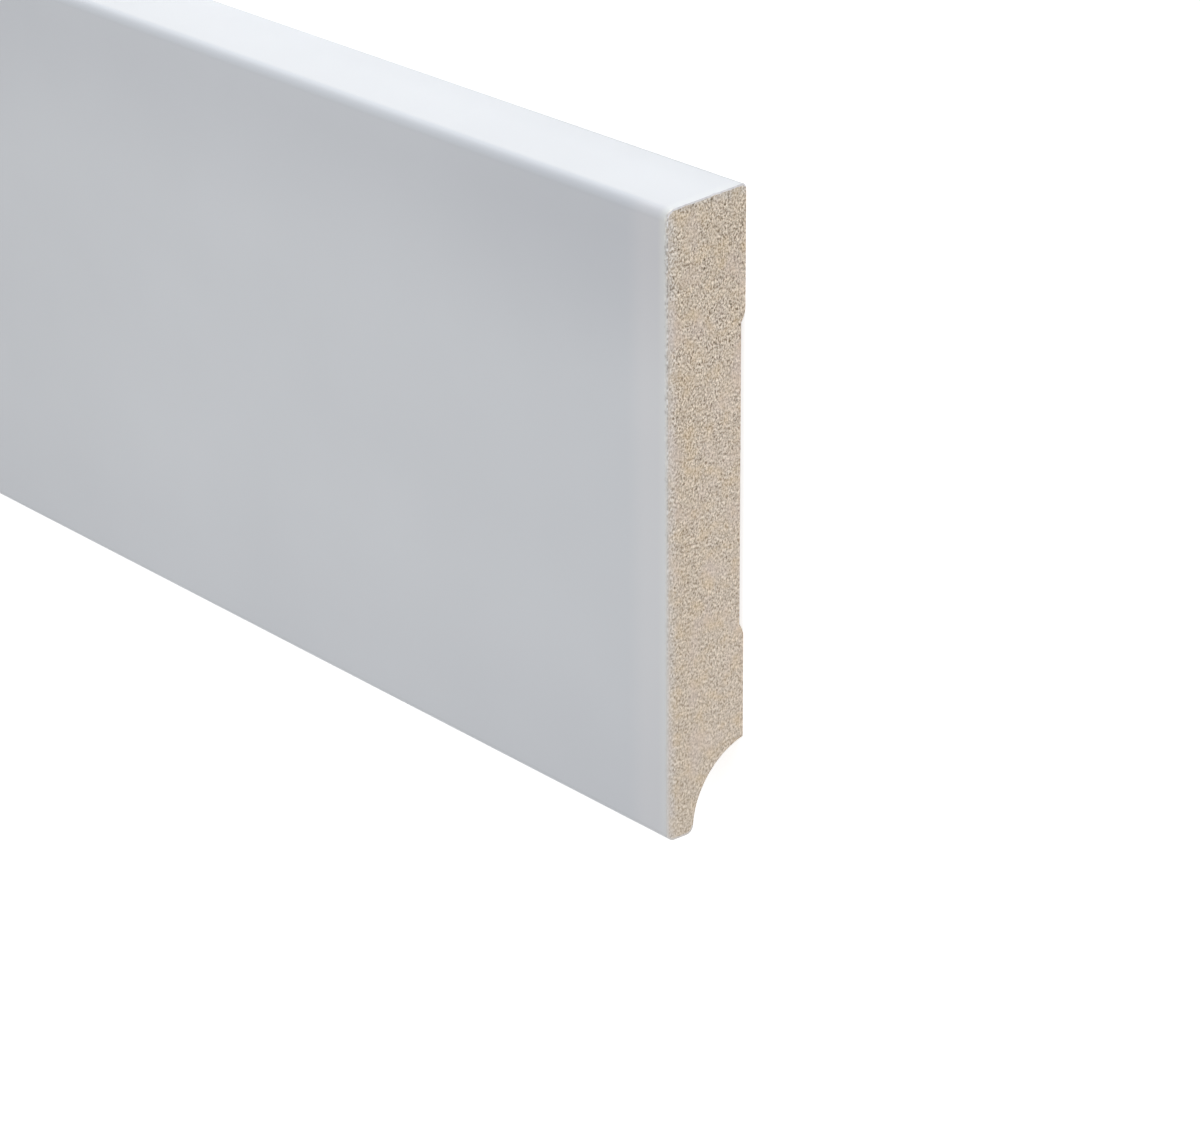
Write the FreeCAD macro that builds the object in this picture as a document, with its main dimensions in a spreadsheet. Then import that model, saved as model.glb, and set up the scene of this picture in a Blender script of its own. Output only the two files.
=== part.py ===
"""Length of foil-wrapped MDF skirting board, lying on its back: X along its length, front face up.

The section is drawn in the YZ plane. Y runs from the toe, which meets the floor of the room, to the top
edge. Z runs from the back pads, which touch the wall, to the front face. The origin is under the middle
of the board, midway between the toe and the top edge.
"""
import FreeCAD, Part
import Sketcher
import math
import os

SIZES = {
    "board_length": 2400.0,
    "board_height": 100.0,
    "board_thickness": 15.0,
    # decorative foil that wraps the top edge, the front face and the toe
    "foil_thickness": 0.3,
    # degrees by which the top edge falls from the wall towards the room
    "top_fall_angle": 4.5,
    # rounds milled on the core, under the foil
    "back_edge_round": 0.35,
    "front_edge_round": 1.45,
    "toe_front_round": 1.05,
    "toe_back_round": 1.05,
    # toe that is left in front of the cable cove, and the cove itself
    "toe_width": 5.1,
    "cove_height": 13.0,
    "cove_radius": 13.1,
    # flat pads on the back, and the shallow relief between them
    "upper_pad": 18.6,
    "lower_pad": 16.2,
    "relief_depth": 0.8,
    "relief_shoulder": 3.8,
}
X_AXIS = -1
START, END, CENTRE = 1, 2, 3
ORIGIN = (-1, START)


def make_sheet(doc):
    sheet = doc.addObject("Spreadsheet::Sheet", "Sizes")
    for row, (name, value) in enumerate(SIZES.items(), start=1):
        sheet.set(f"A{row}", name)
        sheet.set(f"B{row}", str(value))
        sheet.setAlias(f"B{row}", name)
    doc.recompute()
    return sheet


class Section:
    """Where the outline's centres, tangent points and corners lie, for the first guess of each sketch."""

    def __init__(self, size):
        foil = size["foil_thickness"]
        half = size["board_height"] / 2
        thick = size["board_thickness"]
        self.fall = math.radians(size["top_fall_angle"])
        self.round = {
            "back": size["back_edge_round"],
            "front": size["front_edge_round"],
            "toe_front": size["toe_front_round"],
            "toe_back": size["toe_back_round"],
        }
        outer = {name: radius + foil for name, radius in self.round.items()}
        back = (half - outer["back"], outer["back"])
        front_z = thick - outer["front"]
        reach = back[0] * math.cos(self.fall) + back[1] * math.sin(self.fall) + outer["back"] - outer["front"]
        front = ((reach - front_z * math.sin(self.fall)) / math.cos(self.fall), front_z)
        toe_front = (outer["toe_front"] - half, thick - outer["toe_front"])

        self.cove_radius = size["cove_radius"]
        cove_z = thick - size["toe_width"] - self.cove_radius
        self.cove_edge = size["cove_height"] - half
        self.cove = (self.cove_edge - math.sqrt(self.cove_radius**2 - cove_z**2), cove_z)
        toe_y = outer["toe_back"] - half
        reach = self.cove_radius + outer["toe_back"]
        toe_back = (toe_y, cove_z + math.sqrt(reach**2 - (toe_y - self.cove[0]) ** 2))
        self.centre = {"back": back, "front": front, "toe_front": toe_front, "toe_back": toe_back}
        self.toe_turn = math.atan2(self.cove[1] - toe_back[1], self.cove[0] - toe_back[0])

        self.shoulder = size["relief_shoulder"]
        self.shoulder_turn = math.acos(1 - size["relief_depth"] / self.shoulder)
        self.relief_z = size["relief_depth"]
        self.relief_low = self.cove_edge + size["lower_pad"]
        self.relief_high = half - size["upper_pad"]

    def on_round(self, name, turn, grow=0.0):
        """Point on one of the four rounds, or on the foil that grows it, at an angle from +Y."""
        y, z = self.centre[name]
        radius = self.round[name] + grow
        return (y + radius * math.cos(turn), z + radius * math.sin(turn))


class Outline:
    """A sketch on the YZ plane of a body, drawn curve by curve and held by constraints."""

    def __init__(self, body, name):
        plane = next(item for item in body.Origin.OriginFeatures if item.Role == "YZ_Plane")
        self.sketch = body.newObject("Sketcher::SketchObject", name)
        self.sketch.AttachmentSupport = [(plane, "")]
        self.sketch.MapMode = "FlatFace"

    def line(self, first, last):
        return self.sketch.addGeometry(Part.LineSegment(FreeCAD.Vector(*first, 0), FreeCAD.Vector(*last, 0)))

    def arc(self, centre, radius, first, last, construction=False):
        """Arc that runs counter-clockwise from one angle to another, in radians from +Y."""
        circle = Part.Circle(FreeCAD.Vector(*centre, 0), FreeCAD.Vector(0, 0, 1), radius)
        return self.sketch.addGeometry(Part.ArcOfCircle(circle, first, last), construction)

    def hold(self, kind, *where):
        return self.sketch.addConstraint(Sketcher.Constraint(kind, *where))

    def size(self, kind, *where, value, rule):
        """A dimension that starts at a value and then follows a rule in terms of the sheet."""
        index = self.sketch.addConstraint(Sketcher.Constraint(kind, *where, value))
        self.sketch.setExpression(f"Constraints[{index}]", rule)


def draw_wrapped_side(outline, section, grow, growth):
    """Rounds and flats from the back edge, over the top and down the front to the toe's back.

    Returns the curves' numbers. The core's side and both faces of the foil are drawn by it.
    """
    names = ("back", "front", "toe_front", "toe_back")
    rules = ("back_edge_round", "front_edge_round", "toe_front_round", "toe_back_round")
    turns = [-math.pi / 2, section.fall, math.pi / 2, math.pi, math.pi * 2 + section.toe_turn]
    curves = []
    for index, name in enumerate(names):
        radius = section.round[name] + grow
        arc = outline.arc(section.centre[name], radius, turns[index], turns[index + 1])
        outline.size("Radius", arc, value=radius, rule=f"Sizes.{rules[index]}{growth}")
        if curves:
            start = section.on_round(names[index - 1], turns[index], grow)
            flat = outline.line(start, section.on_round(name, turns[index], grow))
            outline.hold("Tangent", curves[-1], END, flat, START)
            outline.hold("Tangent", flat, END, arc, START)
            curves.append(flat)
        curves.append(arc)
    return curves


def place_wrapped_side(outline, size, section, side, inset, shrink):
    """Holds a wrapped side at the board's height, thickness and top slope, less an inset."""
    back_round, top_edge, _, front_face, _, toe_base, _ = side
    foil = size["foil_thickness"]
    outline.hold("Horizontal", front_face)
    outline.hold("Vertical", toe_base)
    fall = section.fall + math.pi / 2
    outline.size("Angle", top_edge, value=fall, rule="90 deg + Sizes.top_fall_angle * 1 deg")
    back_y = section.centre["back"][0]
    outline.size(
        "DistanceX", *ORIGIN, back_round, CENTRE, value=back_y,
        rule="Sizes.board_height / 2 - Sizes.back_edge_round - Sizes.foil_thickness",
    )
    back_z = section.round["back"] + foil
    outline.size(
        "DistanceY", *ORIGIN, back_round, CENTRE, value=back_z,
        rule="Sizes.back_edge_round + Sizes.foil_thickness",
    )
    outline.size(
        "DistanceY", *ORIGIN, front_face, START, value=size["board_thickness"] - inset,
        rule=f"Sizes.board_thickness{shrink}",
    )
    outline.size(
        "DistanceX", toe_base, START, *ORIGIN, value=size["board_height"] / 2 - inset,
        rule=f"Sizes.board_height / 2{shrink}",
    )


def draw_cove(outline, section, toe_cut, construction):
    """Circular cove from its edge on the back to the outer end of the toe's cut, where it is tangent
    to the toe's round."""
    first = math.atan2(-section.cove[1], section.cove_edge - section.cove[0])
    cove = outline.arc(section.cove, section.cove_radius, first, section.toe_turn + math.pi, construction)
    outline.hold("Perpendicular", toe_cut, END, cove, END)
    outline.hold("PointOnObject", cove, START, X_AXIS)
    outline.size("Radius", cove, value=section.cove_radius, rule="Sizes.cove_radius")
    outline.size(
        "DistanceY", cove, CENTRE, *ORIGIN, value=-section.cove[1],
        rule="Sizes.toe_width + Sizes.cove_radius - Sizes.board_thickness",
    )
    outline.size(
        "DistanceX", cove, START, *ORIGIN, value=-section.cove_edge,
        rule="Sizes.board_height / 2 - Sizes.cove_height",
    )
    return cove


def draw_back(outline, size, section, cove, seat):
    """The two pads that touch the wall, and the relief whose round shoulders end at its floor."""
    low = section.relief_low
    high = section.relief_high
    radius = section.shoulder
    turn = section.shoulder_turn
    down = -math.pi / 2
    run = radius * math.sin(turn)
    lower_pad = outline.line((section.cove_edge, 0.0), (low, 0.0))
    low_shoulder = outline.arc((low, radius), radius, down, down + turn)
    floor = outline.line((low + run, section.relief_z), (high - run, section.relief_z))
    high_shoulder = outline.arc((high, radius), radius, down - turn, down)
    upper_pad = outline.line((high, 0.0), (section.centre["back"][0], 0.0))

    outline.hold("Coincident", cove, START, lower_pad, START)
    outline.hold("Tangent", lower_pad, END, low_shoulder, START)
    outline.hold("Coincident", low_shoulder, END, floor, START)
    outline.hold("Coincident", floor, END, high_shoulder, START)
    outline.hold("Tangent", high_shoulder, END, upper_pad, START)
    outline.hold("Coincident", upper_pad, END, seat, START)
    for flat in (lower_pad, floor, upper_pad):
        outline.hold("Horizontal", flat)
    outline.hold("PointOnObject", upper_pad, START, X_AXIS)
    for shoulder in (low_shoulder, high_shoulder):
        outline.size("Radius", shoulder, value=radius, rule="Sizes.relief_shoulder")
    outline.size("Distance", lower_pad, value=size["lower_pad"], rule="Sizes.lower_pad")
    outline.size("DistanceY", *ORIGIN, floor, START, value=section.relief_z, rule="Sizes.relief_depth")
    outline.size(
        "DistanceX", *ORIGIN, upper_pad, START, value=high,
        rule="Sizes.board_height / 2 - Sizes.upper_pad",
    )


def draw_core(body, size, section):
    """Outline of the milled board. Where the foil starts and ends it steps in by the foil's thickness."""
    outline = Outline(body, "CoreOutline")
    foil = size["foil_thickness"]
    side = draw_wrapped_side(outline, section, 0.0, "")
    place_wrapped_side(outline, size, section, side, foil, " - Sizes.foil_thickness")

    down = -math.pi / 2
    seat = outline.line(section.on_round("back", down, foil), section.on_round("back", down))
    outline.hold("Perpendicular", seat, END, side[0], START)
    outline.hold("Vertical", seat)

    turn = section.toe_turn
    toe_seat = outline.line(section.on_round("toe_back", turn), section.on_round("toe_back", turn, foil))
    outline.hold("Perpendicular", side[-1], END, toe_seat, START)
    outline.size("Distance", toe_seat, value=foil, rule="Sizes.foil_thickness")
    cove = draw_cove(outline, section, toe_seat, False)
    draw_back(outline, size, section, cove, seat)
    return outline.sketch


def draw_foil(body, size, section):
    """Outline of the foil: the wrapped side drawn twice, a foil's thickness apart, and its two cut ends."""
    outline = Outline(body, "FoilOutline")
    foil = size["foil_thickness"]
    inner = draw_wrapped_side(outline, section, 0.0, "")
    outer = draw_wrapped_side(outline, section, foil, " + Sizes.foil_thickness")
    for inside, outside in zip(inner[::2], outer[::2]):
        outline.hold("Coincident", inside, CENTRE, outside, CENTRE)
    place_wrapped_side(outline, size, section, outer, 0.0, "")

    down = -math.pi / 2
    back_cut = outline.line(section.on_round("back", down), section.on_round("back", down, foil))
    outline.hold("Coincident", back_cut, START, inner[0], START)
    outline.hold("Perpendicular", back_cut, END, outer[0], START)
    outline.hold("Vertical", back_cut)

    # the cove's circle sets where the foil ends, but isn't part of the foil
    turn = section.toe_turn
    toe_cut = outline.line(section.on_round("toe_back", turn), section.on_round("toe_back", turn, foil))
    outline.hold("Coincident", toe_cut, START, inner[-1], END)
    outline.hold("Perpendicular", outer[-1], END, toe_cut, END)
    draw_cove(outline, section, toe_cut, True)
    return outline.sketch


def make_length(doc, name, draw, size, section):
    """A body with one outline, drawn out to both sides over the board's length."""
    body = doc.addObject("PartDesign::Body", name)
    body.Label = name
    sketch = draw(body, size, section)
    pad = body.newObject("PartDesign::Pad", f"{name}_length")
    pad.Profile = sketch
    pad.SideType = "Symmetric"
    pad.setExpression("Length", "Sizes.board_length")
    body.Placement = FreeCAD.Placement()
    doc.recompute()
    return body


def check(doc, bodies):
    for item in doc.Objects:
        if "Invalid" in item.State or "Error" in item.State:
            raise RuntimeError(f"{item.Label} failed: {item.State}")
        if item.TypeId == "Sketcher::SketchObject" and item.solve() != 0:
            raise RuntimeError(f"{item.Label} doesn't solve")
    for body in bodies:
        shape = body.Shape
        if shape.isNull() or not shape.isValid() or len(shape.Solids) != 1:
            raise RuntimeError(f"{body.Label} isn't one valid solid")


doc = FreeCAD.newDocument("SkirtingBoard")
sheet = make_sheet(doc)
size = {name: float(sheet.get(name)) for name in SIZES}
section = Section(size)
bodies = [
    make_length(doc, "mdf_core", draw_core, size, section),
    make_length(doc, "foil_wrap", draw_foil, size, section),
]
check(doc, bodies)
os.makedirs("parts", exist_ok=True)
for body in bodies:
    body.Shape.exportStep(f"parts/{body.Label}.step")
    print(body.Label, round(body.Shape.Volume), "mm3", body.Shape.BoundBox)
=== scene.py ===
"""Skirting board length: white foil over milled MDF, lying on its back with its front face up.

X runs along the board, Y from the toe to the top edge, Z from the back pads to the front face.
"""
import math

import bmesh
import bpy
import numpy as np
from mathutils import Matrix, Vector, geometry, kdtree, noise


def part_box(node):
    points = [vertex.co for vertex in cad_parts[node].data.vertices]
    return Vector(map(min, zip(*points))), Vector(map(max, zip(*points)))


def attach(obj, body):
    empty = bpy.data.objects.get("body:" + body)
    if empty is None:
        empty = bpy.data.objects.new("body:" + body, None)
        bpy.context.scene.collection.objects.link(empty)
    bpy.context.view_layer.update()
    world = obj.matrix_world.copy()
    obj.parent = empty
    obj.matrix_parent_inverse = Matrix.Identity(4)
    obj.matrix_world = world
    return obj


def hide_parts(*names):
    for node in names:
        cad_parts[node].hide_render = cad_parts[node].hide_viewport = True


MM = 0.001

# The section, as in the part's source
TOP_FALL = math.radians(4.5)
BACK_EDGE_ROUND = 0.35 * MM
FRONT_EDGE_ROUND = 1.45 * MM
TOE_FRONT_ROUND = 1.05 * MM
TOE_BACK_ROUND = 1.05 * MM
TOE_WIDTH = 5.1 * MM
COVE_HEIGHT = 13.0 * MM
COVE_RADIUS = 13.1 * MM
UPPER_PAD = 18.6 * MM
LOWER_PAD = 16.2 * MM
RELIEF_DEPTH = 0.8 * MM
RELIEF_SHOULDER = 3.8 * MM

# The photograph's camera, in the frame of the board standing on its toe: X along the board from its cut
# end, Y into the wall, Z up
IMAGE_WIDTH = 1200
SENSOR_WIDTH = 36.0
FOCAL_PX = 4311.5
YAW = math.radians(50.30)
PITCH = math.radians(22.69)
ROLL = math.radians(-0.426)
CAMERA_FROM_END = Vector((439.05, -377.16, 287.16)) * MM

# The light: the strength of the world, how much brighter the camera sees the floor, and the lamps, each
# with the way to it from the cut end, its distance, its size and its power
WORLD_LIGHT = 0.517
FLOOR_LIFT = 0.70
FLOOR_REACH = 30.0
FLOOR_DROP = 0.02 * MM
LAMPS = {
    "key": ((0.40, 1.0, 0.12), 3.0, (4.0, 0.6), 52.5),
    "side": ((1.0, 0.12, 0.16), 3.0, (2.0, 0.9), 28.6),
    "far": ((-1.0, -0.05, 0.10), 5.4, (2.0, 0.9), 18.0),
}

# How finely the meshes are divided. The outline is finer in a narrow band at each end.
ARC_STEP = math.radians(5)
FLAT_STEP = 4.0 * MM
FINE_PER_FLAT = 14
LENGTH_STEP = 12.0 * MM
EDGE_BAND = 0.9 * MM
SHARP_ANGLE = math.radians(40)

# Points of an outline, and of a cut end's mesh, that lie this near each other are one point
SAME_SPOT = 1e-7
MERGE_GAP = 1e-9

# The saw's marks: the grid of points on a cut end, how deep its fibres are torn and its foil is nicked,
# and how many fibres, lumps and nicks there are to a metre
SAWN_GRID = 0.22 * MM
GRID_SHIFT = 0.22
GRID_MARGIN = 0.55
SAWN_RELIEF = 0.05 * MM
EDGE_CHIP = 0.35
FIBRES = (1600, 2600, 1000)
LUMPS = 700
FOIL_NICK = 0.30 * MM
NICKS = 750
SMALL_NICKS = 2300
CUT_FACES = 1

# The map that the materials are baked through, and its name. The last stretch at
# each end and the cut ends get more room in it than their area would.
BAKE_MAP = "OFBake"
MAP_MARGIN = 0.005
END_STRETCH = 40 * MM
END_STRETCH_SHARE = 0.12
LONG_ROOM = {"mdf_board": 0.68, "foil_skin": 0.90}
CUT_ROWS = {"mdf_board": (0.69, 0.845), "foil_skin": (0.91, 0.955)}
CUT_ROOM = {"mdf_board": 0.147, "foil_skin": 0.035}


def arc_points(centre, radius, first, last):
    """Points along an arc in the YZ plane, from one angle to another, both ends included."""
    count = max(2, math.ceil(abs(last - first) / ARC_STEP))
    angles = [first + (last - first) * i / count for i in range(count + 1)]
    return [(centre[0] + radius * math.cos(a), centre[1] + radius * math.sin(a)) for a in angles]


def divide_flat(first, last, per_step):
    """Points between two corners, not counting them, at FLAT_STEP or finer."""
    length = math.dist(first, last)
    if length < SAME_SPOT:
        return []
    count = max(1, round(length / FLAT_STEP)) * per_step if length > FLAT_STEP else per_step // 3 + 1
    return [
        (first[0] + (last[0] - first[0]) * i / count, first[1] + (last[1] - first[1]) * i / count)
        for i in range(1, count)
    ]


class Stock:
    """The board's sizes and its outline in the YZ plane, worked out as in the part's source."""

    def __init__(self, half_length, half_height, thickness, foil):
        self.half_length = half_length
        self.half_height = half_height
        self.thickness = thickness
        self.foil = foil
        self.rounds = {
            "back": BACK_EDGE_ROUND,
            "front": FRONT_EDGE_ROUND,
            "toe_front": TOE_FRONT_ROUND,
            "toe_back": TOE_BACK_ROUND,
        }
        outer = {name: radius + foil for name, radius in self.rounds.items()}
        back = (half_height - outer["back"], outer["back"])
        front_z = thickness - outer["front"]
        reach = back[0] * math.cos(TOP_FALL) + back[1] * math.sin(TOP_FALL) + outer["back"] - outer["front"]
        front = ((reach - front_z * math.sin(TOP_FALL)) / math.cos(TOP_FALL), front_z)
        toe_front = (outer["toe_front"] - half_height, thickness - outer["toe_front"])
        cove_z = thickness - TOE_WIDTH - COVE_RADIUS
        self.cove_edge = COVE_HEIGHT - half_height
        self.cove = (self.cove_edge - math.sqrt(COVE_RADIUS**2 - cove_z**2), cove_z)
        toe_y = outer["toe_back"] - half_height
        reach = COVE_RADIUS + outer["toe_back"]
        toe_back = (toe_y, cove_z + math.sqrt(reach**2 - (toe_y - self.cove[0]) ** 2))
        self.centres = {"back": back, "front": front, "toe_front": toe_front, "toe_back": toe_back}
        self.toe_turn = math.atan2(self.cove[1] - toe_back[1], self.cove[0] - toe_back[0])

    def wrapped_side(self, grow):
        """The four rounds of the side that the foil covers, from the back edge to the toe's back."""
        turns = [-math.pi / 2, TOP_FALL, math.pi / 2, math.pi, math.pi * 2 + self.toe_turn]
        return [
            arc_points(self.centres[name], self.rounds[name] + grow, turns[i], turns[i + 1])
            for i, name in enumerate(self.rounds)
        ]

    def back_side(self):
        """The cove, the pads and the relief, from the toe's back to the back edge."""
        first = self.toe_turn + math.pi
        last = math.atan2(-self.cove[1], self.cove_edge - self.cove[0])
        turn = math.acos(1 - RELIEF_DEPTH / RELIEF_SHOULDER)
        down = -math.pi / 2
        low = (self.cove_edge + LOWER_PAD, RELIEF_SHOULDER)
        high = (self.half_height - UPPER_PAD, RELIEF_SHOULDER)
        return [
            arc_points(self.cove, COVE_RADIUS, first, last),
            arc_points(low, RELIEF_SHOULDER, down, down + turn),
            arc_points(high, RELIEF_SHOULDER, down - turn, down),
            [(self.centres["back"][0], 0.0)],
        ]


def join_runs(runs, per_step):
    """Joins runs of points with divided flats between them.

    Returns the points and, for each, whether it is also a point of the coarse outline.
    """
    points = []
    coarse = []
    for run in runs:
        if points:
            between = divide_flat(points[-1], run[0], per_step)
            stride = per_step if math.dist(points[-1], run[0]) > FLAT_STEP else len(between) + 1
            coarse += [(i + 1) % stride == 0 for i in range(len(between))]
            points += between
        coarse += [True] * len(run)
        points += run
    return points, coarse


def core_outline(stock):
    """The board's outline, without a point that lies on the one before it."""
    points, coarse = join_runs(stock.wrapped_side(0.0) + stock.back_side(), FINE_PER_FLAT)
    kept = [i for i, point in enumerate(points) if math.dist(point, points[i - 1]) > SAME_SPOT]
    return [points[i] for i in kept], [coarse[i] for i in kept]


def foil_outline(stock):
    """Outer face from the back edge to the toe, then the inner face back again, and the outer's count."""
    outer, outer_coarse = join_runs(stock.wrapped_side(stock.foil), FINE_PER_FLAT)
    inner, inner_coarse = join_runs(stock.wrapped_side(0.0), FINE_PER_FLAT)
    return outer + inner[::-1], outer_coarse + inner_coarse[::-1], len(outer)


def length_stations(half_length):
    """Places along the board between the two fine bands at its ends."""
    reach = half_length - EDGE_BAND
    count = round(2 * reach / LENGTH_STEP)
    return [-reach + 2 * reach * i / count for i in range(count + 1)]


def add_loft(mesh, points, coarse, stations):
    """Long faces between coarse rings. Returns the first and last ring."""
    outline = [p for p, kept in zip(points, coarse) if kept]
    rings = [[mesh.verts.new((x, y, z)) for y, z in outline] for x in stations]
    for before, after in zip(rings, rings[1:]):
        bridge(mesh, before, after)
    return rings[0], rings[-1]


def bridge(mesh, before, after):
    """Quads between two rings, facing out when the outline runs counter-clockwise and X grows."""
    count = len(before)
    for i in range(count):
        k = (i + 1) % count
        mesh.faces.new((before[i], after[i], after[k], before[k]))


def bridge_to_fine(mesh, ring, fine, coarse, towards_plus_x):
    """Faces between a coarse ring and a fine one, which has more points on its flats."""
    shared = [i for i, kept in enumerate(coarse) if kept]
    count = len(fine)
    for i, start in enumerate(shared):
        k = (i + 1) % len(shared)
        stop = shared[k] if k else shared[0] + count
        span = [fine[j % count] for j in range(start, stop + 1)]
        face = [ring[i], *span, ring[k]]
        if not towards_plus_x:
            face.reverse()
        mesh.faces.new(face)


def inside_outline(spots, outline):
    """Which spots lie inside a closed outline, by counting the edges that a ray crosses."""
    inside = np.zeros(len(spots), bool)
    for (y0, z0), (y1, z1) in zip(outline, np.roll(outline, -1, axis=0)):
        crosses = (z0 > spots[:, 1]) != (z1 > spots[:, 1])
        if z0 != z1:
            at = (y1 - y0) * (spots[:, 1] - z0) / (z1 - z0) + y0
            inside ^= crosses & (spots[:, 0] < at)
    return inside


def clear_of_outline(spots, outline, gap):
    """Which spots lie further than a gap from every edge of an outline."""
    clear = np.ones(len(spots), bool)
    for a, b in zip(outline, np.roll(outline, -1, axis=0)):
        along = b - a
        t = np.clip(((spots - a) @ along) / (along @ along), 0, 1)
        clear &= np.linalg.norm(spots - a - t[:, None] * along, axis=1) > gap
    return clear


def sawn_spots(outline, seed):
    """Points spread over the cut end on a loose grid."""
    draw = np.random.default_rng(seed)
    low, high = outline.min(axis=0), outline.max(axis=0)
    rows = np.arange(low[1], high[1], SAWN_GRID * math.sqrt(3) / 2)
    columns = np.arange(low[0], high[0], SAWN_GRID)
    spots = np.array([(y + (r % 2) * SAWN_GRID / 2, z) for r, z in enumerate(rows) for y in columns])
    spots += draw.uniform(-GRID_SHIFT, GRID_SHIFT, spots.shape) * SAWN_GRID
    spots = spots[inside_outline(spots, outline)]
    return spots[clear_of_outline(spots, outline, SAWN_GRID * GRID_MARGIN)]


def sawn_depth(y, z, end):
    """How far the torn fibres lie below the plane of the cut, from 0 to 1. Each end has its own."""
    spot = Vector((y, z, end * 7.0 * MM))
    fibre = noise.fractal(Vector(np.multiply(spot, FIBRES)), 1.0, 2.2, 2)
    lump = noise.noise(spot * LUMPS)
    return min(1.0, max(0.0, 0.42 - 0.36 * fibre - 0.22 * lump))


def nick_depth(y, z, end):
    """How far the saw has torn the foil's edge back: here and there a nick, with smaller ones between."""
    spot = Vector((y, z, end * 5.0 * MM))
    large = max(0.0, noise.noise(spot * NICKS) - 0.1)
    small = max(0.0, noise.noise(spot * SMALL_NICKS) - 0.1)
    return large + 0.35 * small


def add_sawn_end(mesh, ring, half_length, end):
    """Cut end of the board: a dense sheet of small pits and fibres inside the last ring."""
    outline = np.array([(v.co.y, v.co.z) for v in ring])
    spots = sawn_spots(outline, seed=11 + end)
    flat = [Vector(p) for p in outline] + [Vector(p) for p in spots]
    count = len(outline)
    edges = [(i, (i + 1) % count) for i in range(count)]
    verts, _, faces, source, _, _ = geometry.delaunay_2d_cdt(flat, edges, [], 1, MERGE_GAP)
    made = []
    for co, origin in zip(verts, source):
        if origin and origin[0] < count:
            made.append(ring[origin[0]])
            continue
        depth = sawn_depth(co.x, co.y, end) * SAWN_RELIEF
        made.append(mesh.verts.new((end * (half_length - depth), co.x, co.y)))
    for face in faces:
        corners = [made[i] for i in face]
        if len(set(corners)) < 3:
            continue
        a, b, c = corners[0].co, corners[1].co, corners[2].co
        if ((b - a).cross(c - a)).x * end < 0:
            corners.reverse()
        mesh.faces.new(corners).material_index = CUT_FACES


def nearest_of(points):
    """A function that gives the number of the outline's point that a spot of the mesh lies over."""
    tree = kdtree.KDTree(len(points))
    for i, (y, z) in enumerate(points):
        tree.insert((y, z, 0.0), i)
    tree.balance()
    return lambda spot: tree.find((spot.y, spot.z, 0.0))[1]


def along_map(x, half_length):
    """Place along the board in the bake map, from 0 to 1."""
    from_end = half_length - abs(x)
    if from_end < END_STRETCH:
        near = END_STRETCH_SHARE * from_end / END_STRETCH
        return near if x < 0 else 1.0 - near
    return 0.5 + x / (half_length - END_STRETCH) * (0.5 - END_STRETCH_SHARE)


def within_margin(share):
    return MAP_MARGIN + (1 - 2 * MAP_MARGIN) * share


def add_bake_map(mesh, name, points, half_length, cut_place):
    """Unrolls the long faces round the outline, and lays each cut end in a row of its own.

    cut_place takes a spot of a cut end to its place along and across that row, each from 0 to 1.
    """
    layer = mesh.loops.layers.uv.new(BAKE_MAP)
    nearest = nearest_of(points)
    steps = [math.dist(p, q) for p, q in zip(points, points[1:] + points[:1])]
    reached = np.concatenate(([0.0], np.cumsum(steps))) / sum(steps)
    for face in mesh.faces:
        spots = [loop.vert.co for loop in face.loops]
        if face.material_index == CUT_FACES:
            row = CUT_ROWS[name][spots[0].x > 0]
            places = [cut_place(spot) for spot in spots]
            made = [(within_margin(along), row + CUT_ROOM[name] * across) for along, across in places]
        else:
            around = [reached[nearest(spot)] for spot in spots]
            if max(around) - min(around) > 0.5:
                around = [share or 1.0 for share in around]  # the face that closes the outline
            made = [
                (within_margin(along_map(spot.x, half_length)), MAP_MARGIN + LONG_ROOM[name] * share)
                for spot, share in zip(spots, around)
            ]
        for loop, place in zip(face.loops, made):
            loop[layer].uv = place


def finish_mesh(mesh, name, materials):
    data = bpy.data.meshes.new(name)
    mesh.to_mesh(data)
    mesh.free()
    for material in materials:
        data.materials.append(material)
    data.shade_smooth()
    data.set_sharp_from_angle(angle=SHARP_ANGLE)
    piece = bpy.data.objects.new(name, data)
    bpy.context.scene.collection.objects.link(piece)
    return piece


def build_board(stock, materials):
    """The milled MDF board: long milled faces and two sawn ends."""
    points, coarse = core_outline(stock)
    mesh = bmesh.new()
    first, last = add_loft(mesh, points, coarse, length_stations(stock.half_length))
    for end, ring in ((-1, first), (1, last)):
        fine = []
        for y, z in points:
            chip = EDGE_CHIP * sawn_depth(y, z, end) * SAWN_RELIEF
            fine.append(mesh.verts.new((end * (stock.half_length - chip), y, z)))
        bridge_to_fine(mesh, ring, fine, coarse, end > 0)
        add_sawn_end(mesh, fine, stock.half_length, end)

    def cut_place(spot):
        return (spot.y / stock.half_height + 1) / 2, spot.z / stock.thickness

    add_bake_map(mesh, "mdf_board", points, stock.half_length, cut_place)
    return finish_mesh(mesh, "mdf_board", materials)


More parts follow.
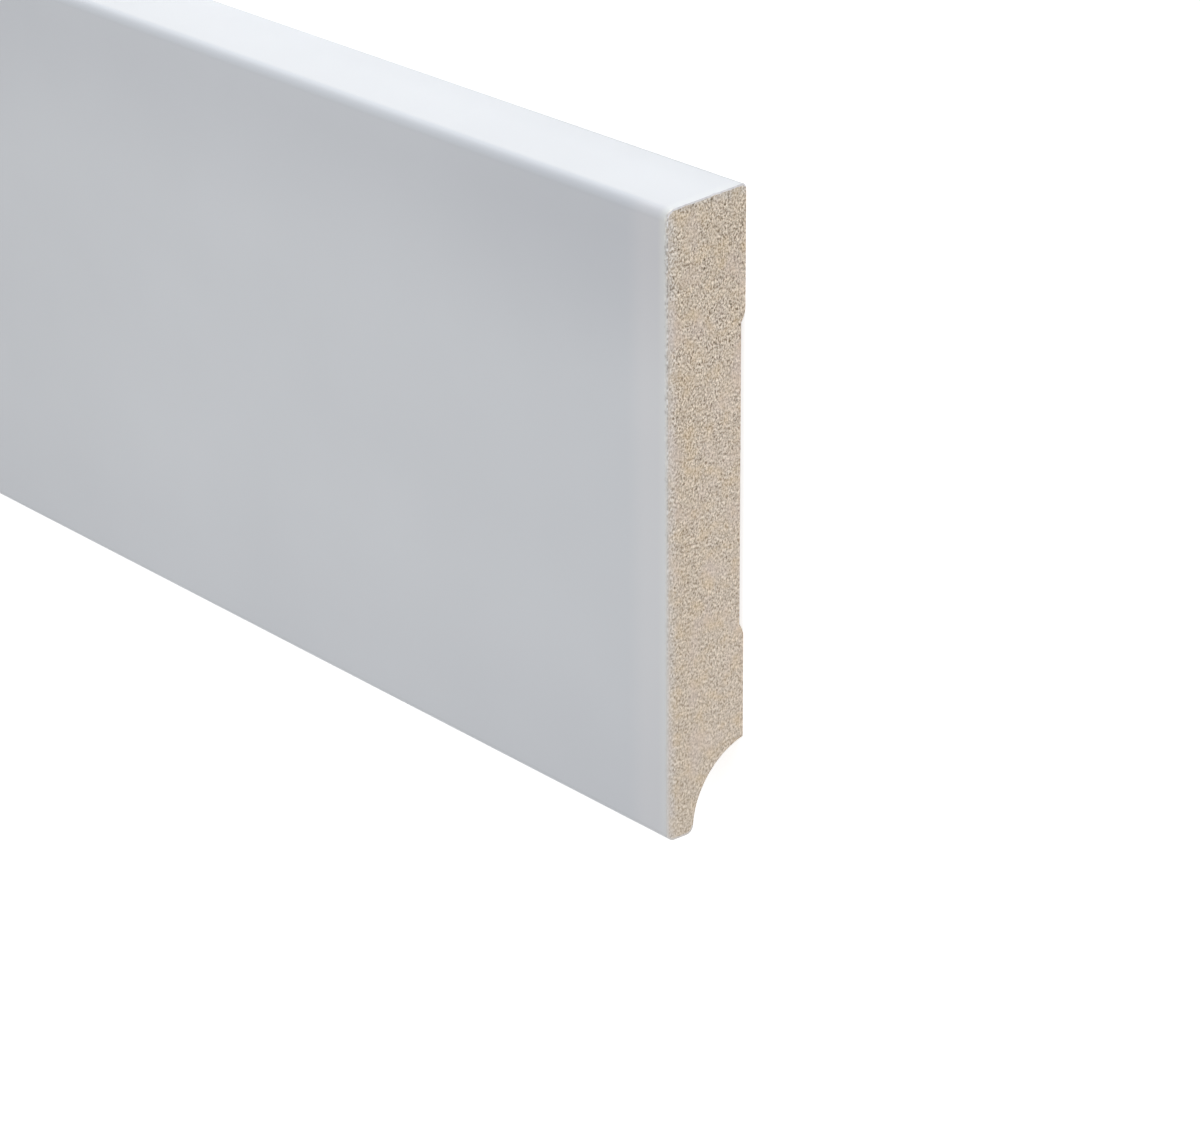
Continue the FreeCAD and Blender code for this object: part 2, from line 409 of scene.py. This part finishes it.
def build_foil(stock, materials):
    """The foil: a thin wrap with cut edges that the saw has left ragged, most of all near the top."""
    points, coarse, outer_count = foil_outline(stock)
    count = len(points)
    nearest = nearest_of(points)
    mesh = bmesh.new()
    first, last = add_loft(mesh, points, coarse, length_stations(stock.half_length))
    for end, ring in ((-1, first), (1, last)):
        fine = []
        for i, (y, z) in enumerate(points):
            share = (1.0 if i < outer_count else 0.6) * (0.55 + 0.45 * y / stock.half_height)
            nick = FOIL_NICK * share * nick_depth(y, z, end)
            fine.append(mesh.verts.new((end * (stock.half_length - nick), y, z)))
        bridge_to_fine(mesh, ring, fine, coarse, end > 0)
        # the outer and inner face have as many points each, so the cut edge is a strip of quads
        for i in range(outer_count - 1):
            corners = [fine[i], fine[i + 1], fine[count - 2 - i], fine[count - 1 - i]]
            if end < 0:
                corners.reverse()
            mesh.faces.new(corners).material_index = CUT_FACES

    def cut_place(spot):
        i = nearest(spot)
        if i < outer_count:
            return i / outer_count, 0.0
        return (count - 1 - i) / outer_count, 1.0

    add_bake_map(mesh, "foil_skin", points, stock.half_length, cut_place)
    return finish_mesh(mesh, "foil_skin", materials)


class Nodes:
    """Short names for the nodes of one tree."""

    def __init__(self, tree):
        self.tree = tree

    def node(self, kind, inputs=None, **settings):
        made = self.tree.nodes.new(kind)
        for key, value in settings.items():
            setattr(made, key, value)
        for key, value in (inputs or {}).items():
            self.put(made.inputs[key], value)
        return made

    def put(self, socket, value):
        if isinstance(value, bpy.types.NodeSocket):
            self.tree.links.new(value, socket)
        else:
            socket.default_value = value

    def ramp(self, value, low, high, to_low=0.0, to_high=1.0, smooth=True):
        inputs = {"Value": value, "From Min": low, "From Max": high, "To Min": to_low, "To Max": to_high}
        kind = "SMOOTHSTEP" if smooth else "LINEAR"
        return self.node("ShaderNodeMapRange", inputs, interpolation_type=kind).outputs[0]

    def math(self, operation, first, second=0.0, third=0.0):
        inputs = {0: first, 1: second, 2: third}
        return self.node("ShaderNodeMath", inputs, operation=operation).outputs[0]

    def times(self, *values):
        product = values[0]
        for value in values[1:]:
            product = self.math("MULTIPLY", product, value)
        return product

    def seen_rays(self):
        """1 for rays from the camera, reflections and glass, and 0 for the light that falls on things."""
        path = self.node("ShaderNodeLightPath")
        seen = path.outputs["Is Camera Ray"]
        for kind in ("Is Glossy Ray", "Is Transmission Ray"):
            seen = self.math("MAXIMUM", seen, path.outputs[kind])
        return seen


class Shader(Nodes):
    """The nodes of one material, placed by the object's own coordinates in metres."""

    def __init__(self, name):
        self.material = bpy.data.materials.new(name)
        self.material.use_nodes = True
        super().__init__(self.material.node_tree)
        self.surface = self.tree.nodes["Principled BSDF"]
        self.place = self.node("ShaderNodeTexCoord").outputs["Object"]

    def stretch(self, factors):
        """The place, multiplied axis by axis."""
        made = self.node("ShaderNodeVectorMath", {0: self.place, 1: factors}, operation="MULTIPLY")
        return made.outputs[0]

    def noise(self, vector, scale, detail=2.0, roughness=0.5):
        inputs = {"Vector": vector, "Scale": scale, "Detail": detail, "Roughness": roughness}
        return self.node("ShaderNodeTexNoise", inputs).outputs["Fac"]

    def mix(self, share, first, second, blend="MIX"):
        made = self.node("ShaderNodeMix", data_type="RGBA", blend_type=blend)
        self.put(made.inputs["Factor"], share)
        self.put(made.inputs[6], first)
        self.put(made.inputs[7], second)
        return made.outputs[2]

    def tint(self, share, base, factors):
        """Multiplies a colour by three factors, as far as the share says."""
        return self.mix(share, base, (*factors, 1.0), blend="MULTIPLY")

    def bump(self, height, distance, strength, normal=None):
        inputs = {"Height": height, "Distance": distance, "Strength": strength}
        if normal is not None:
            inputs["Normal"] = normal
        return self.node("ShaderNodeBump", inputs).outputs["Normal"]

    def set(self, **inputs):
        for key, value in inputs.items():
            self.put(self.surface.inputs[key.replace("_", " ")], value)


class BoardShader(Shader):
    """A material that changes with the distance from the board's edges.

    Each method goes smoothly from one value to another between two such distances, in millimetres.
    """

    def __init__(self, name, stock):
        super().__init__(name)
        self.stock = stock
        axes = self.node("ShaderNodeSeparateXYZ", {0: self.place}).outputs
        self.from_middle = self.math("ABSOLUTE", axes["X"])
        self.y = axes["Y"]
        self.z = axes["Z"]

    def from_end(self, start, stop, to_start=0.0, to_stop=1.0):
        reach = self.stock.half_length
        return self.ramp(self.from_middle, reach - start * MM, reach - stop * MM, to_start, to_stop)

    def from_top(self, start, stop, to_start=0.0, to_stop=1.0):
        top = self.stock.half_height
        return self.ramp(self.y, top - start * MM, top - stop * MM, to_start, to_stop)

    def from_toe(self, start, stop, to_start=0.0, to_stop=1.0):
        top = self.stock.half_height
        return self.ramp(self.y, start * MM - top, stop * MM - top, to_start, to_stop)

    def from_front(self, start, stop, to_start=0.0, to_stop=1.0):
        front = self.stock.thickness
        return self.ramp(self.z, front - start * MM, front - stop * MM, to_start, to_stop)

    def from_back(self, start, stop, to_start=0.0, to_stop=1.0):
        return self.ramp(self.z, start * MM, stop * MM, to_start, to_stop)


def colour(red, green, blue):
    """A linear colour from 8-bit screen values."""
    values = [v / 255 for v in (red, green, blue)]
    linear = [v / 12.92 if v <= 0.04045 else ((v + 0.055) / 1.055) ** 2.4 for v in values]
    return (*linear, 1.0)


def painted_shade_over_edges(s, base, front, near_end):
    """Painted shade: the foil's front is darkened and turned bluer towards the top edge and the toe, more
    so near each end.
    """
    edges = s.math("ADD", s.from_top(34, 3, 0.0, 0.085), s.from_toe(32, 2, 0.0, 0.045))
    edges = s.times(edges, s.math("MULTIPLY_ADD", near_end, 0.4, 1.0))
    edge_shade_share = s.math("MULTIPLY_ADD", near_end, 0.017, edges)
    return s.tint(s.times(edge_shade_share, front), base, (-0.07, 0.0, 0.1))


def painted_light_beside_cut(s, base, front):
    """Painted light: the foil's front is lightened beside each cut, more so at the edge. Its last half
    millimetre is warmer.
    """
    beside_cut = s.times(s.from_end(9.5, 4.5), s.from_top(45, 8, 0.72, 1.0))
    base = s.tint(s.times(beside_cut, front), base, (1.082, 1.058, 1.041))
    at_cut = s.times(s.from_end(2.2, 0.6), s.from_top(25, 6, 0.42, 1.0))
    at_cut = s.times(at_cut, s.math("MULTIPLY_ADD", front, 0.7, 0.3))
    base = s.tint(at_cut, base, (1.107, 1.105, 1.055))
    return s.tint(s.times(s.from_end(0.5, 0.05), front), base, (0.99, 0.955, 0.905))


def painted_shade_over_top(s, base, front, near_end):
    """Painted shade: darkens the rounded front edge, near the end the top face and back edge towards the
    wall, and the front face away from the end.
    """
    on_round = s.from_top(3.1, 1.9)
    turn = s.times(s.from_front(1.6, 1.0, 0.0, 0.038), on_round)
    base = s.tint(turn, base, (0.0, 0.45, 0.9))
    roll = s.times(s.from_front(0.9, 0.25, 0.0, 0.10), on_round)
    far_side = s.math("ADD", s.from_back(6.5, 0.3, 0.0, 0.045), s.from_back(1.9, 0.5, 0.0, 0.03))
    far_side = s.math("ADD", far_side, s.from_front(0.8, 2.0, 0.0, 0.014))
    top_shade_share = s.math("MULTIPLY_ADD", far_side, s.from_end(150, 15), roll)
    top_shade_share = s.math("MULTIPLY_ADD", s.from_back(1.2, 0.5, 0.0, 0.08), near_end, top_shade_share)
    top_shade_share = s.math("MULTIPLY_ADD", s.from_end(120, 190, 0.0, 0.04), front, top_shade_share)
    return s.tint(top_shade_share, base, (0.0, 0.0, 0.0))


def chip_edge(s, base, front):
    """The saw has chipped the foil's edge, dark and pale, most of all over the upper part."""
    top = s.stock.half_height
    upper = s.ramp(s.y, -top * 0.3, top, 0.12, 1.0, smooth=False)
    small = s.noise(s.stretch((1.0, 0.6, 1.0)), 3100, 2.0, 0.6)
    chips = s.mix(0.4, s.noise(s.place, 1050, 2.0, 0.6), small)
    rim = s.times(s.from_end(0.75, 0.25), upper, front)
    base = s.mix(s.times(rim, s.ramp(chips, 0.54, 0.62, 0.0, 0.8)), base, colour(168, 162, 155))
    return s.tint(s.times(rim, s.ramp(chips, 0.49, 0.40)), base, (1.20, 1.19, 1.16))


def foil_face_material(stock):
    """Smooth white decorative foil with a satin sheen, fine pores and a faint peel, with painted shade and
    painted light on its front.
    """
    s = BoardShader("white_foil", stock)
    front = s.from_front(2.0, 0.5)
    near_end = s.from_end(70, 12)
    cloud = s.noise(s.place, 28, 2.0)
    base = s.mix(s.ramp(cloud, 0.3, 0.7), colour(233, 236, 240), colour(235, 238, 242))
    # painted shade on the foil's front towards the top edge and the toe
    base = painted_shade_over_edges(s, base, front, near_end)
    # painted light on the foil's front beside each cut
    base = painted_light_beside_cut(s, base, front)
    # painted shade over the rounded front edge, the top face, the back edge and the front
    base = painted_shade_over_top(s, base, front, near_end)
    base = chip_edge(s, base, front)
    s.set(Base_Color=base, IOR=1.46)
    s.set(Roughness=s.ramp(s.noise(s.place, 90, 3.0), 0.3, 0.7, 0.42, 0.50))
    peel = s.noise(s.place, 420, 2.0)
    pores = s.noise(s.stretch((0.5, 1.0, 1.0)), 5200, 2.0)
    normal = s.bump(peel, 0.004 * MM, 1.0)
    s.set(Normal=s.bump(pores, 0.0015 * MM, 1.0, normal))
    return s.material


def foil_cut_material(stock):
    """The foil's sawn edge: pale, with specks of dust and small dark nicks, and lighter and bluer, with
    fewer specks, over the top.
    """
    s = BoardShader("foil_cut_edge", stock)
    specks = s.noise(s.place, 1400, 2.0, 0.65)
    dust = s.noise(s.place, 600, 2.0)
    base = s.mix(s.ramp(specks, 0.38, 0.60), colour(222, 221, 221), colour(150, 145, 140))
    base = s.mix(s.ramp(dust, 0.45, 0.68, 0.0, 0.5), base, colour(200, 189, 178))
    calm = s.ramp(s.y, -stock.half_height, stock.half_height * 0.9, 0.9, 0.0, smooth=False)
    base = s.mix(calm, base, colour(197, 192, 188))
    base = s.mix(s.from_top(3.0, 1.4, 0.0, 0.75), base, colour(209, 209, 214))
    s.set(Base_Color=base, Roughness=0.7)
    s.set(Normal=s.bump(specks, 0.05 * MM, 0.8))
    return s.material


def add_specks(s, base, per_metre, drawn_out, strength, rough, mark, tone):
    """Scattered specks of one tone, one in each cell whose random value is over the mark."""
    cell = s.node("ShaderNodeTexVoronoi", {"Vector": s.stretch((1.0, drawn_out, 1.0)), "Scale": per_metre})
    chosen = s.node("ShaderNodeSeparateXYZ", {0: cell.outputs["Color"]}).outputs[0]
    near = s.times(s.ramp(cell.outputs["Distance"], 0.10, 0.30, strength, 0.0), rough)
    return s.mix(s.times(near, s.math("GREATER_THAN", chosen, mark)), base, tone)


def sawn_material(stock):
    """Sawn MDF: fibres with dark pits and pale ends, in faint patches of colour."""
    s = BoardShader("sawn_mdf", stock)
    along = s.stretch((1.0, 0.70, 1.0))
    # the saw leaves the lower part smoother, down to the toe
    low = s.ramp(s.y, -stock.half_height, stock.half_height * 0.6, 1.0, 0.0, smooth=False)
    crisp = s.times(s.noise(along, 3400, 3.0, 0.62), s.math("MULTIPLY_ADD", low, -0.55, 1.0))
    soft = s.times(s.noise(along, 2800, 2.0, 0.5), s.times(low, 0.55))
    fibre = s.math("ADD", crisp, soft)
    base = s.mix(s.ramp(fibre, 0.33, 0.67), colour(128, 111, 90), colour(239, 227, 211))
    rough = s.math("MULTIPLY_ADD", low, -0.4, 1.0)
    base = add_specks(s, base, 1500, 0.70, 0.95, rough, 0.68, colour(82, 66, 45))
    base = add_specks(s, base, 1900, 0.45, 0.6, rough, 0.70, colour(250, 239, 223))

    smooth_patch = s.ramp(s.noise(s.place, 420, 1.0), 0.42, 0.68, 0.0, 0.35)
    base = s.mix(s.math("MAXIMUM", smooth_patch, s.times(low, 0.36)), base, colour(199, 183, 163))
    lumps = s.noise(s.place, 520, 2.0)
    base = s.tint(s.ramp(lumps, 0.3, 0.7, 0.0, 0.10), base, (0.0, 0.05, 0.2))
    patch = s.noise(s.place, 330, 2.0)
    base = s.mix(s.ramp(patch, 0.45, 0.75, 0.0, 0.34), base, colour(204, 180, 144))
    pink = s.noise(s.stretch((1.0, 0.8, 1.3)), 190, 1.0)
    base = s.mix(s.ramp(pink, 0.5, 0.75, 0.0, 0.35), base, colour(203, 188, 180))

    # greyer just behind the foil, on the front and over the top, and a little paler in between
    base = s.tint(s.from_front(2.6, 0.3), base, (1.005, 1.065, 1.17))
    base = s.mix(s.from_front(1.4, 0.4, 0.0, 0.3), base, colour(195, 187, 179))
    base = s.tint(s.from_top(2.2, 0.6), base, (0.97, 1.03, 1.12))
    base = s.tint(low, base, (1.025, 1.035, 1.05))
    middle = s.times(s.from_top(8, 30), s.from_toe(3, 18))
    base = s.tint(middle, base, (1.021, 1.013, 1.009))
    base = s.tint(s.times(s.from_front(4, 10), middle), base, (1.025, 1.036, 1.058))
    s.set(Base_Color=base, Roughness=0.88, IOR=1.4)
    s.set(Normal=s.bump(fibre, 0.03 * MM, 0.7))
    return s.material


def milled_material():
    """Milled and sanded MDF of the back, the relief and the cove, with the cutter's faint ripple."""
    s = Shader("milled_mdf")
    fibre = s.noise(s.stretch((0.35, 1.0, 1.0)), 2400, 4.0, 0.6)
    base = s.mix(s.ramp(fibre, 0.32, 0.68), colour(178, 156, 128), colour(204, 185, 158))
    patch = s.noise(s.place, 60, 3.0)
    base = s.mix(s.ramp(patch, 0.4, 0.7, 0.0, 0.4), base, colour(186, 163, 134))
    flecks = s.noise(s.stretch((0.5, 1.0, 1.0)), 900, 2.0, 0.7)
    base = s.mix(s.ramp(flecks, 0.62, 0.72, 0.0, 0.5), base, colour(150, 126, 98))
    s.set(Base_Color=base, Roughness=0.8, IOR=1.4)
    waves = {"Vector": s.place, "Scale": 110.0, "Distortion": 0.4}
    ripple = s.node("ShaderNodeTexWave", waves, bands_direction="X").outputs["Fac"]
    normal = s.bump(ripple, 0.004 * MM, 1.0)
    s.set(Normal=s.bump(fibre, 0.02 * MM, 0.6, normal))
    return s.material


def add_floor():
    """White floor, which the camera sees a little brighter, so that only the object's shadow shows."""
    s = Shader("floor")
    s.set(Base_Color=(0.80, 0.80, 0.80, 1.0), Roughness=0.9, Specular_IOR_Level=0.0)
    strength = s.times(s.seen_rays(), FLOOR_LIFT)
    lift = s.node("ShaderNodeEmission", {"Color": (1.0, 1.0, 1.0, 1.0), "Strength": strength})
    total = s.node("ShaderNodeAddShader", {0: s.surface.outputs[0], 1: lift.outputs[0]})
    s.put(s.tree.nodes["Material Output"].inputs["Surface"], total.outputs[0])
    mesh = bmesh.new()
    corners = [
        mesh.verts.new((x * FLOOR_REACH, y * FLOOR_REACH, -FLOOR_DROP))
        for x, y in ((-1, -1), (1, -1), (1, 1), (-1, 1))
    ]
    mesh.faces.new(corners)
    floor = finish_mesh(mesh, "floor", [s.material])


def add_world():
    """Even soft light from all round, which the camera sees as white."""
    world = bpy.data.worlds.new("studio")
    bpy.context.scene.world = world
    world.use_nodes = True
    sky = Nodes(world.node_tree)
    back = sky.tree.nodes["Background"]
    sky.put(back.inputs["Color"], (0.985, 0.99, 1.0, 1.0))
    sky.put(back.inputs["Strength"], sky.ramp(sky.seen_rays(), 0.0, 1.0, WORLD_LIGHT, 1.0, smooth=False))


def add_lamp(name, lit_spot, direction, distance, size, power):
    """A large soft lamp that stands off in a direction and faces the lit spot."""
    data = bpy.data.lights.new(name, "AREA")
    data.shape = "RECTANGLE"
    data.size, data.size_y = size
    data.energy = power
    lamp = bpy.data.objects.new(name, data)
    back = Vector(direction).normalized()
    lamp.location = lit_spot + back * distance
    lamp.rotation_mode = "QUATERNION"
    lamp.rotation_quaternion = (-back).to_track_quat("-Z", "Y")
    bpy.context.scene.collection.objects.link(lamp)


def add_camera(stock):
    """The photograph's camera, turned with the board from standing on its toe to lying on its back."""
    back = Vector((math.sin(YAW) * math.cos(PITCH), -math.cos(YAW) * math.cos(PITCH), math.sin(PITCH)))
    level = Vector((math.cos(YAW), math.sin(YAW), 0.0))
    steep = back.cross(level)
    right = level * math.cos(ROLL) + steep * math.sin(ROLL)
    up = steep * math.cos(ROLL) - level * math.sin(ROLL)
    lay_down = Matrix(((1, 0, 0), (0, 0, 1), (0, -1, 0)))
    turned = Matrix([lay_down @ axis for axis in (right, up, back)]).transposed()
    data = bpy.data.cameras.new("camera")
    data.sensor_width = SENSOR_WIDTH
    data.lens = SENSOR_WIDTH * FOCAL_PX / IMAGE_WIDTH
    data.clip_start = 0.01
    camera = bpy.data.objects.new("camera", data)
    toe_corner = Vector((stock.half_length, -stock.half_height, stock.thickness))
    camera.matrix_world = Matrix.Translation(lay_down @ CAMERA_FROM_END + toe_corner) @ turned.to_4x4()
    bpy.context.scene.collection.objects.link(camera)
    bpy.context.scene.camera = camera


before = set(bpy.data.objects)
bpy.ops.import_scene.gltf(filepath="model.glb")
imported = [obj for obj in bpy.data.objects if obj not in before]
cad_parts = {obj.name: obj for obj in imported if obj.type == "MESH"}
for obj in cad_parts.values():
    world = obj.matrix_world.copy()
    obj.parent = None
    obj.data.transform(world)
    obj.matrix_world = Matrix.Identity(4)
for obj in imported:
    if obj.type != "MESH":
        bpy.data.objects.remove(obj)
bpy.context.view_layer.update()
foil_low, foil_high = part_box("foil_wrap")
_, core_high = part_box("mdf_core")
half_height = min(foil_high.y, -foil_low.y)
stock = Stock(foil_high.x, half_height, foil_high.z, foil_high.z - core_high.z)

add_camera(stock)
add_world()
add_floor()
cut_end = Vector((stock.half_length, 0.0, 0.0))
for name, (direction, distance, size, power) in LAMPS.items():
    add_lamp(name, cut_end, direction, distance, size, power)

board = build_board(stock, [milled_material(), sawn_material(stock)])
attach(board, "root")
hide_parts("mdf_core")

foil = build_foil(stock, [foil_face_material(stock), foil_cut_material(stock)])
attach(foil, "root")
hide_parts("foil_wrap")

bpy.context.scene.view_settings.view_transform = "Standard"
